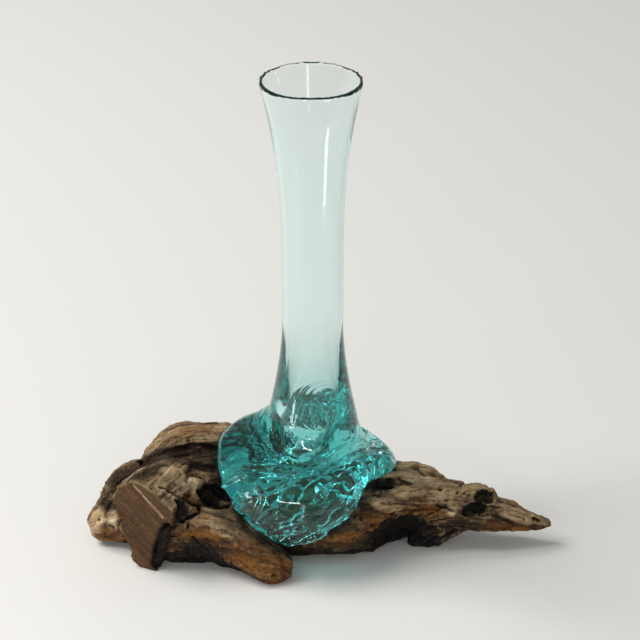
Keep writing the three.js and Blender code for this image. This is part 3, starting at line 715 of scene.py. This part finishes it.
melt_folds = [  # path, half width, height of a fold of the melt; a groove where it's below 0
    ([(-47, -26, 47), (-42.5, -30, 54), (-38, -31, 57.5), (-33, -32, 59.5), (-28, -33, 60),
      (-19, -35, 60.6), (-9, -36, 60.6)], 2.4, 1.8),
    ([(-45, -22, 54), (-38, -25, 61), (-28, -28, 63.5), (-18, -30, 64)], 4.0, -1.5),
    ([(-36.5, -32, 57), (-32, -36, 56), (-28, -40, 54), (-26, -42.5, 50), (-28, -44, 45),
      (-30.6, -43.6, 40), (-32, -42, 35)], 2.0, 0.9),
    ([(-26, -41, 52), (-17, -41, 55.6), (-10, -38, 59), (-1, -34, 61)], 2.2, 0.8),
    ([(-8, -35, 61), (-1, -32, 64), (7, -28, 66.4), (15, -22, 68.4), (23, -11, 66.6), (30, 4, 60)], 1.8, 0.8),
    ([(-6, -37, 59.5), (2, -34, 61), (10, -29, 63), (18, -22, 63.7), (26, -9, 61), (33, 5, 54)], 1.6, -0.8),
    ([(7, -32, 61), (15, -26, 62.4), (23, -16, 60.4), (32, -3, 54), (37, 2, 51)], 1.8, 0.8),
    ([(10, -33, 57), (20, -26, 57), (28, -16, 54), (34, -6, 50)], 1.8, -0.7),
    ([(-22, -44, 46), (-12, -46, 44), (0, -46, 42), (10, -43, 42), (18, -38, 43)], 3.0, -0.9),
]
polished_outside = [  # middle and half sizes of the places that slumped quite smooth
    ((-15, -45, 49), (15, 9, 6)), ((39, -6, 48), (13, 20, 13)),
]
calm_underneath = [  # and of those with few waves below: the front of the hem, and the left and right lobes
    ((-8, -40, 18), (17, 9, 7)), ((-40, -8, 56), (18, 22, 14)), ((39, -3, 48), (13, 20, 13)),
]


def drop_over_wood(blown, room):
    """The blown form, cut by the room that the wood takes, with a new even skin."""
    glass = bpy.data.objects.new("blown_glass_vase", blown.data.copy())
    bpy.context.scene.collection.objects.link(glass)
    seat = glass.modifiers.new("seat", "BOOLEAN")
    seat.operation = "DIFFERENCE"
    seat.solver = "MANIFOLD"
    seat.object = room
    settle(glass)
    reskin(glass, glass_skin_size)
    keep_largest(glass)
    return glass


def keep_largest(piece):
    """Drops loose crumbs of a mesh and keeps its largest body."""
    form = bmesh.new()
    form.from_mesh(piece.data)
    bodies, seen = [], set()
    for vertex in form.verts:
        if vertex not in seen:
            body, open_ends = [], [vertex]
            seen.add(vertex)
            while open_ends:
                end = open_ends.pop()
                body.append(end)
                for edge in end.link_edges:
                    other = edge.other_vert(end)
                    if other not in seen:
                        seen.add(other)
                        open_ends.append(other)
            bodies.append(body)
    bodies.sort(key=len)
    bmesh.ops.delete(form, geom=[v for body in bodies[:-1] for v in body], context="VERTS")
    form.to_mesh(piece.data)
    form.free()


def back_onto_form(points, blown):
    """The points, moved back onto the blown form where they are free of the wood, and how free each is."""
    form = surface_of(blown)
    snapped, off = points.copy(), np.empty(len(points))
    for i, point in enumerate(points):
        place_on_form, _, _, gap = form.find_nearest(Vector(point / 1000))
        snapped[i] = np.array(place_on_form) * 1000
        off[i] = gap * 1000
    free = smoothstep(0.9, 0.25, off)
    return points + free[:, None] * (snapped - points), free


def outer_relief(points, free, height, foot, round_axis):
    """Ripple and folds of the melt on the outside, in millimetres. The hollow stays smooth."""
    radius = np.hypot(points[:, 0], points[:, 1])
    inside = np.where(height > 10, neck_radius(height) - neck_wall, 0)
    outside = smoothstep(1.0, 2.0, radius - inside) * free
    drawn = np.column_stack([round_axis * 4.2, height / 60])
    stir = 0.5 * layered(points / 26, 2, 71)[:, None]
    ripple = 0.35 * noise(drawn * (1.6, 1.6, 1) + stir, 61) + 0.1 * noise(drawn * (4, 4, 1.5) + 2 * stir, 67)
    lift = outside * foot * ripple
    for middle, half in polished_outside:
        lift *= smoothstep(0.8, 1.3, around_spot(points, middle, half))
    lift += outside * (1 - foot) * 0.035 * noise(np.column_stack([round_axis * 5, height / 90]), 73)
    for path, reach, rise in melt_folds:
        lift += outside * rise * smoothstep(0, 1, nearness(points, path, reach))
    return lift


def thickness_at(glass, points, normals, where):
    """How thick the glass is behind these points, in millimetres, and 0 at all others."""
    skin = surface_of(glass)
    thickness = np.zeros(len(points))
    for i in np.flatnonzero(where):
        hit = skin.ray_cast(Vector((points[i] - 0.05 * normals[i]) / 1000), Vector(-normals[i]))
        thickness[i] = hit[3] * 1000 if hit[0] is not None else 0
    return thickness


def seat_relief(points, thickness, round_axis):
    """How deep the waves are that the wood and its steam pressed into the glass, in millimetres."""
    radius = np.hypot(points[:, 0], points[:, 1])
    fan = np.column_stack([round_axis * 6, radius / 22])
    flow = np.array([(0.85, -0.3, -0.43), (0.3, 0.95, 0), (0.43, 0, 0.9)])
    stream = points @ flow / (13, 4.2, 4.2) + 0.7 * layered(points / 17, 2, 105)[:, None]
    calm = smoothstep(0.15, 0.4, noise(points / 17, 103))
    for middle, half in calm_underneath:
        calm = np.maximum(calm, smoothstep(1.3, 0.9, around_spot(points, middle, half)))
    waves = 3.5 * layered(stream, 2, 79)
    waves += 2.0 * noise(fan + 0.4 * layered(points / 12, 2, 89)[:, None], 97)
    deepest = np.clip(0.4 * (thickness - 5), 0, 5)  # glass that is 5 mm thick or less stays whole
    return np.clip(1.3 + (1 - 0.85 * calm) * waves, 0, deepest)


def trap_bubbles(piece, seat, tries=260):
    """Steam that the melt trapped over its seat: small drawn-out bubbles, and a large one in the front."""
    skin = surface_of(piece)
    points, normals = points_of(piece.data), normals_of(piece.data)
    chance = np.random.default_rng(7)
    bubbles = [(np.array([10.5, -38, 33]), np.array([5.5, 2.4, 3.6]), 0.3, 24)]  # middle, half, turn, sides
    for vertex in chance.choice(seat, tries):
        middle = points[vertex] - normals[vertex] * (1.6 + 6 * chance.random() ** 1.5)
        small = 0.25 + 0.35 * chance.random() ** 2
        half = small * np.array([1 + 4 * chance.random() ** 3, 1, 0.8])
        bubbles.append((middle, half, 2 * np.pi * chance.random(), 8))
    form = bmesh.new()
    for middle, half, turn, sides in bubbles:
        nearest, normal, _, gap = skin.find_nearest(Vector(middle / 1000))
        inside = normal.dot(Vector(middle / 1000) - nearest) < 0
        if inside and gap * 1000 > half[0] + 0.5:
            shape = Matrix.LocRotScale(Vector(middle / 1000), Euler((0.3, 0.2, turn)), Vector(half / 1000))
            bmesh.ops.create_uvsphere(form, u_segments=sides, v_segments=sides * 3 // 4, radius=1,
                                      matrix=shape)
    bmesh.ops.reverse_faces(form, faces=form.faces)
    form.from_mesh(piece.data)
    form.to_mesh(piece.data)
    form.free()


def make_glass():
    blown = skin_over(blown_rows(200), "blown_form")
    room = wood_under_glass()
    glass = drop_over_wood(blown, room)
    mesh = glass.data
    edges = edges_of(mesh)
    points, free = back_onto_form(relax(points_of(mesh), edges, 12), blown)

    # The edge between the seat and the outside has melted round
    seam = relax(4 * (free * (1 - free))[:, None], edges, 8, push=0)
    points += np.clip(9 * seam, 0, 1) * (relax(points, edges, 40, push=0) - points)
    place(mesh, points)
    normals = normals_of(mesh)

    # The drawn-out streaks wind round the foot
    height = points[:, 2] - saddle
    foot = smoothstep(54, 30, height)
    turn = np.arctan2(points[:, 1], points[:, 0] + 1) - foot * height / 22
    round_axis = np.stack([np.cos(turn), np.sin(turn)], axis=1)
    lift = outer_relief(points, free, height, foot, round_axis)

    # The seat on the wood, and what hangs free below the foot
    hanging = free * smoothstep(0.0, -0.45, normals[:, 2]) * smoothstep(26, 16, height)
    under = np.maximum((1 - free) * smoothstep(30, 20, height), hanging)
    thickness = thickness_at(glass, points, normals, under > 0)
    lift -= under * seat_relief(points, thickness, round_axis)

    points[:, 2] -= lip_tilt * smoothstep(185, vase_height, height) * (1 + points[:, 1] / rim_radius)
    place(mesh, points + normals * lift[:, None])
    trap_bubbles(glass, np.flatnonzero(under > 0.5))
    for spare in (blown, room):
        bpy.data.objects.remove(spare)
    return glass


glass = make_glass()
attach(glass, "vase")
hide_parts("glass_vase")


# Materials

def add_node(tree, kind, settings=(), **sockets):
    """Adds a node. settings are its own choices. A socket is named by its words joined with _, or as in_2 by
    number, and takes a value or another node's output."""
    node = tree.nodes.new(kind)
    for name, value in dict(settings).items():
        setattr(node, name, value)
    for name, value in sockets.items():
        by_number = name.startswith("in_")
        socket = node.inputs[int(name[3:])] if by_number else node.inputs[name.replace("_", " ")]
        if isinstance(value, bpy.types.NodeSocket):
            tree.links.new(value, socket)
        else:
            socket.default_value = value
    return node


def new_material(name):
    material = bpy.data.materials.new(name)
    material.use_nodes = True
    material.node_tree.nodes.clear()
    return material, material.node_tree


# Weathered root: bare wood that lay outside, so silver-tan on top and brown at its sides. Painted light and
# shade go over this: the tops paler, the faces that look down near black, and its cracks and hollows dark.
# The eye gets long broken fibres, matt worn crests and nearly black hollows, whose black is painted shade.
def weathered_wood():
    material, tree = new_material("weathered_root_wood")
    weather_and_painted_shade = {name: add_node(tree, "ShaderNodeAttribute", {"attribute_name": name}).outputs["Fac"]
               for name in ("hollow", "recess", "shade", "sawn", "painted_black_shade", "scorch_and_shade")}
    grain = add_node(tree, "ShaderNodeAttribute", {"attribute_name": "grain"}).outputs["Vector"]
    tints = add_node(tree, "ShaderNodeAttribute", {"attribute_name": "tints"}).outputs["Vector"]
    dark, ochre, pale = add_node(tree, "ShaderNodeSeparateXYZ", Vector=tints).outputs
    where = add_node(tree, "ShaderNodeTexCoord").outputs["Object"]
    normal = add_node(tree, "ShaderNodeNewGeometry").outputs["Normal"]
    facing_up = add_node(tree, "ShaderNodeSeparateXYZ", Vector=normal).outputs["Z"]

    # Patterns, by their size in millimetres. The hairs stand for single fibres, which are too fine to show.
    along_fibres = {"streaks": (40, 5.0, 3), "fibres": (22, 1.3, 3), "hairs": (9, 0.55, 2)}
    pattern = {}
    for name, (length, width, detail) in along_fibres.items():
        scaled = add_node(tree, "ShaderNodeMapping", {"vector_type": "POINT"}, Vector=grain,
                          Scale=(1000 / length, 1000 / width, 1000 / width))
        pattern[name] = add_node(tree, "ShaderNodeTexNoise", Vector=scaled.outputs[0], Scale=1.0,
                                 Detail=detail, Roughness=0.6).outputs[0]
    every_way = {"stains": (14, 3), "patches": (24, 2), "cut_stains": (8, 4), "specks": (1.7, 2),
                 "wear": (6, 2)}
    for name, (size, detail) in every_way.items():
        pattern[name] = add_node(tree, "ShaderNodeTexNoise", Vector=where, Scale=1000 / size,
                                 Detail=detail, Roughness=0.6).outputs[0]

    # The saw's marks run down the cut face, 1.1 mm apart
    across_cut = add_node(tree, "ShaderNodeMapping", {"vector_type": "TEXTURE"}, Vector=where,
                          Rotation=(0, 0.72, -0.44), Scale=(0.014, 0.02, 0.0011))
    pattern["saw_marks"] = add_node(tree, "ShaderNodeTexNoise", Vector=across_cut.outputs[0], Scale=1.0,
                                    Detail=3.0).outputs[0]

    # Tones of the wood, each from the darkest to the palest part of a pattern
    tones = {
        # shaded is the painted shade of faces that look down; top_tan, for faces that look up, is partly
        # painted light
        "shaded": ("streaks", (0.3, "#0c0805"), (0.5, "#1b1209"), (0.7, "#32210e")),
        "side_brown": ("streaks", (0.3, "#2e1f12"), (0.5, "#4d361f"), (0.7, "#6b4d2b")),
        "top_tan": ("streaks", (0.3, "#75624a"), (0.52, "#a68c68"), (0.72, "#c6ae88")),
        "dark": ("streaks", (0.3, "#110c09"), (0.5, "#211812"), (0.7, "#37291f")),
        "ochre": ("streaks", (0.3, "#44230c"), (0.5, "#714518"), (0.7, "#935f26")),
        "pale": ("streaks", (0.3, "#a4845c"), (0.5, "#d0b189"), (0.7, "#e6cfaa")),
        "cut_face": ("saw_marks", (0.3, "#46301d"), (0.5, "#573e27"), (0.68, "#6b5033")),
    }
    tone = {}
    for name, (source, *stops) in tones.items():
        ramp = add_node(tree, "ShaderNodeValToRGB", Fac=pattern[source])
        ramp.color_ramp.elements.new(0.5)
        for element, (position, colour) in zip(ramp.color_ramp.elements, stops):
            element.position = position
            element.color = to_linear(colour)
        tone[name] = ramp.outputs[0]

    def overlaid(colour, layers):
        """A colour with layers over it. A layer's share grows from least to most as its value goes from low
        to high."""
        for value, growth, low, high, least, most, layer in layers:
            share = add_node(tree, "ShaderNodeMapRange", {"interpolation_type": growth}, Value=value,
                             From_Min=low, From_Max=high, To_Min=least, To_Max=most)
            layer = to_linear(layer) if isinstance(layer, str) else layer
            colour = add_node(tree, "ShaderNodeMix", {"data_type": "RGBA"}, in_0=share.outputs[0],
                              in_6=colour, in_7=layer).outputs[2]
        return colour

    soft, even = "SMOOTHSTEP", "LINEAR"
    cut_face = overlaid(tone["cut_face"], [(pattern["cut_stains"], soft, 0.48, 0.66, 0, 0.5, "#3a2819")])
    most_scorch_and_shade = add_node(tree, "ShaderNodeMapRange", {"interpolation_type": soft}, Value=pattern["fibres"],
                         From_Min=0.3, From_Max=0.6, To_Min=1.0, To_Max=0.85).outputs[0]
    wood = overlaid(tone["shaded"], [
        # Painted light and shade by the way a face looks: down near black, sideways brown, up pale tan
        (facing_up, soft, -0.5, 0.25, 0, 1, tone["side_brown"]),
        (facing_up, soft, 0.2, 0.85, 0, 1, tone["top_tan"]),
        (pattern["stains"], soft, 0.54, 0.7, 0, 0.55, "#8a5a26"),
        (pattern["patches"], soft, 0.5, 0.66, 0, 0.5, "#57463a"),
        (dark, even, 0, 1, 0, 0.93, tone["dark"]),
        (ochre, even, 0, 1, 0, 0.88, tone["ochre"]),
        (pattern["specks"], soft, 0.47, 0.33, 0, 0.6, "#231810"),
        (pattern["specks"], soft, 0.58, 0.74, 0, 0.2, "#bfa37c"),
        (weather_and_painted_shade["sawn"], even, 0, 1, 0, 1, cut_face),
        (pale, even, 0, 1, 0, 0.8, tone["pale"]),
        (pattern["fibres"], soft, 0.36, 0.52, 0.5, 0, "#38261b"),
        (pattern["hairs"], soft, 0.34, 0.5, 0.35, 0, "#4a3527"),
        (weather_and_painted_shade["hollow"], soft, -0.1, -0.9, 0, 0.35, "#b3956c"),
        # painted shade in small hollows
        (weather_and_painted_shade["hollow"], soft, 0.05, 0.8, 0, 0.85, "#21160f"),
        # painted shade in wide recesses
        (weather_and_painted_shade["recess"], soft, 0.05, 0.75, 0, 0.88, "#17100b"),
        # painted shade where little of the room is seen
        (weather_and_painted_shade["shade"], soft, 0.42, 0.9, 0, 0.93, "#0c0907"),
        # painted black shade in the black-shade places and deep cracks
        (weather_and_painted_shade["painted_black_shade"], even, 0, 1, 0, 0.94, "#0b0908"),
        # scorch from the hot glass, and painted shade beside it
        (weather_and_painted_shade["scorch_and_shade"], even, 0, 1, 0, most_scorch_and_shade, "#0e0e10"),
    ])
    height = 0.0
    for name, share in (("fibres", 0.5), ("hairs", 0.3), ("specks", 0.4)):
        height = add_node(tree, "ShaderNodeMath", {"operation": "MULTIPLY_ADD"}, in_0=pattern[name],
                          in_1=share, in_2=height).outputs[0]
    bump = add_node(tree, "ShaderNodeBump", Strength=0.55, Distance=0.0006, Height=height)
    dull = add_node(tree, "ShaderNodeMapRange", {"interpolation_type": soft}, Value=pattern["wear"],
                    From_Min=0.3, From_Max=0.7, To_Min=0.62, To_Max=0.85)
    shader = add_node(tree, "ShaderNodeBsdfPrincipled", Base_Color=wood, Roughness=dull.outputs[0], IOR=1.45,
                      Specular_IOR_Level=0.22, Normal=bump.outputs[0])
    add_node(tree, "ShaderNodeOutputMaterial", Surface=shader.outputs[0])
    return material


root.data.materials.clear()
root.data.materials.append(weathered_wood())
root.data.shade_smooth()


# Blown glass, pale aqua from the iron in it: almost clear in the thin neck and blue-green in the thick foot.
# Fire-polished, so its gloss is sharp everywhere. Only its depth colours it.
def aqua_glass():
    material, tree = new_material("blown_aqua_glass")
    shader = add_node(tree, "ShaderNodeBsdfPrincipled", Base_Color=to_linear("#ffffff"), Roughness=0.0,
                      IOR=1.5, Transmission_Weight=1.0)
    depth = add_node(tree, "ShaderNodeVolumeAbsorption", Color=to_linear("#61ebe9"), Density=39.0)
    add_node(tree, "ShaderNodeOutputMaterial", Surface=shader.outputs[0], Volume=depth.outputs[0])
    return material


glass.data.materials.clear()
glass.data.materials.append(aqua_glass())
glass.data.shade_smooth()


# Floor: plain pale matt, wide enough to fill the view
def make_floor():
    form = bmesh.new()
    bmesh.ops.create_circle(form, cap_ends=True, segments=96, radius=6000)
    bmesh.ops.translate(form, vec=(0, 0, -0.2), verts=form.verts)
    floor = piece_from(form, "floor")
    material, tree = new_material("pale_floor")
    shader = add_node(tree, "ShaderNodeBsdfPrincipled", Base_Color=to_linear("#efece6"), Roughness=0.9)
    add_node(tree, "ShaderNodeOutputMaterial", Surface=shader.outputs[0])
    floor.data.materials.append(material)


make_floor()


# Light
def area_light(name, position, target, size, power):
    data = bpy.data.lights.new(name, "AREA")
    data.shape = "RECTANGLE"
    data.size, data.size_y = size
    data.energy = power
    light = bpy.data.objects.new(name, data)
    light.location = position
    light.rotation_euler = (Vector(target) - Vector(position)).to_track_quat("-Z", "Y").to_euler()
    bpy.context.scene.collection.objects.link(light)
    return light


window = area_light("window_upper_left", (-1.25, 0.15, 1.7), (0, 0, 0.05), (1.2, 1.2), 36)
window.visible_glossy = False  # it lights the room softly, and only the narrow lights show as highlights
area_light("low_card_on_the_left", (-0.36, -0.27, 0.07), (0, 0, 0.12), (0.06, 0.14), 0.25)
area_light("low_window_in_front", (0.22, -1.45, 0.30), (0, 0, 0.22), (0.12, 0.3), 0.5)
area_light("strip_below_the_camera", (-0.17, -1.42, 0.58), (-0.015, -0.045, 0.05), (0.6, 0.05), 2.5)

world = bpy.data.worlds.new("studio")
bpy.context.scene.world = world
world.use_nodes = True
world.node_tree.nodes.clear()
sky = add_node(world.node_tree, "ShaderNodeBackground", Color=to_linear("#eef1f4"), Strength=0.36)
add_node(world.node_tree, "ShaderNodeOutputWorld", Surface=sky.outputs[0])

bpy.context.scene.view_settings.view_transform = "Standard"

# Light bounces many times inside the thick foot, from wall to wall
for kind, bounces in (("max", 96), ("transmission", 96), ("glossy", 96), ("diffuse", 4)):
    setattr(bpy.context.scene.cycles, kind + "_bounces", bounces)
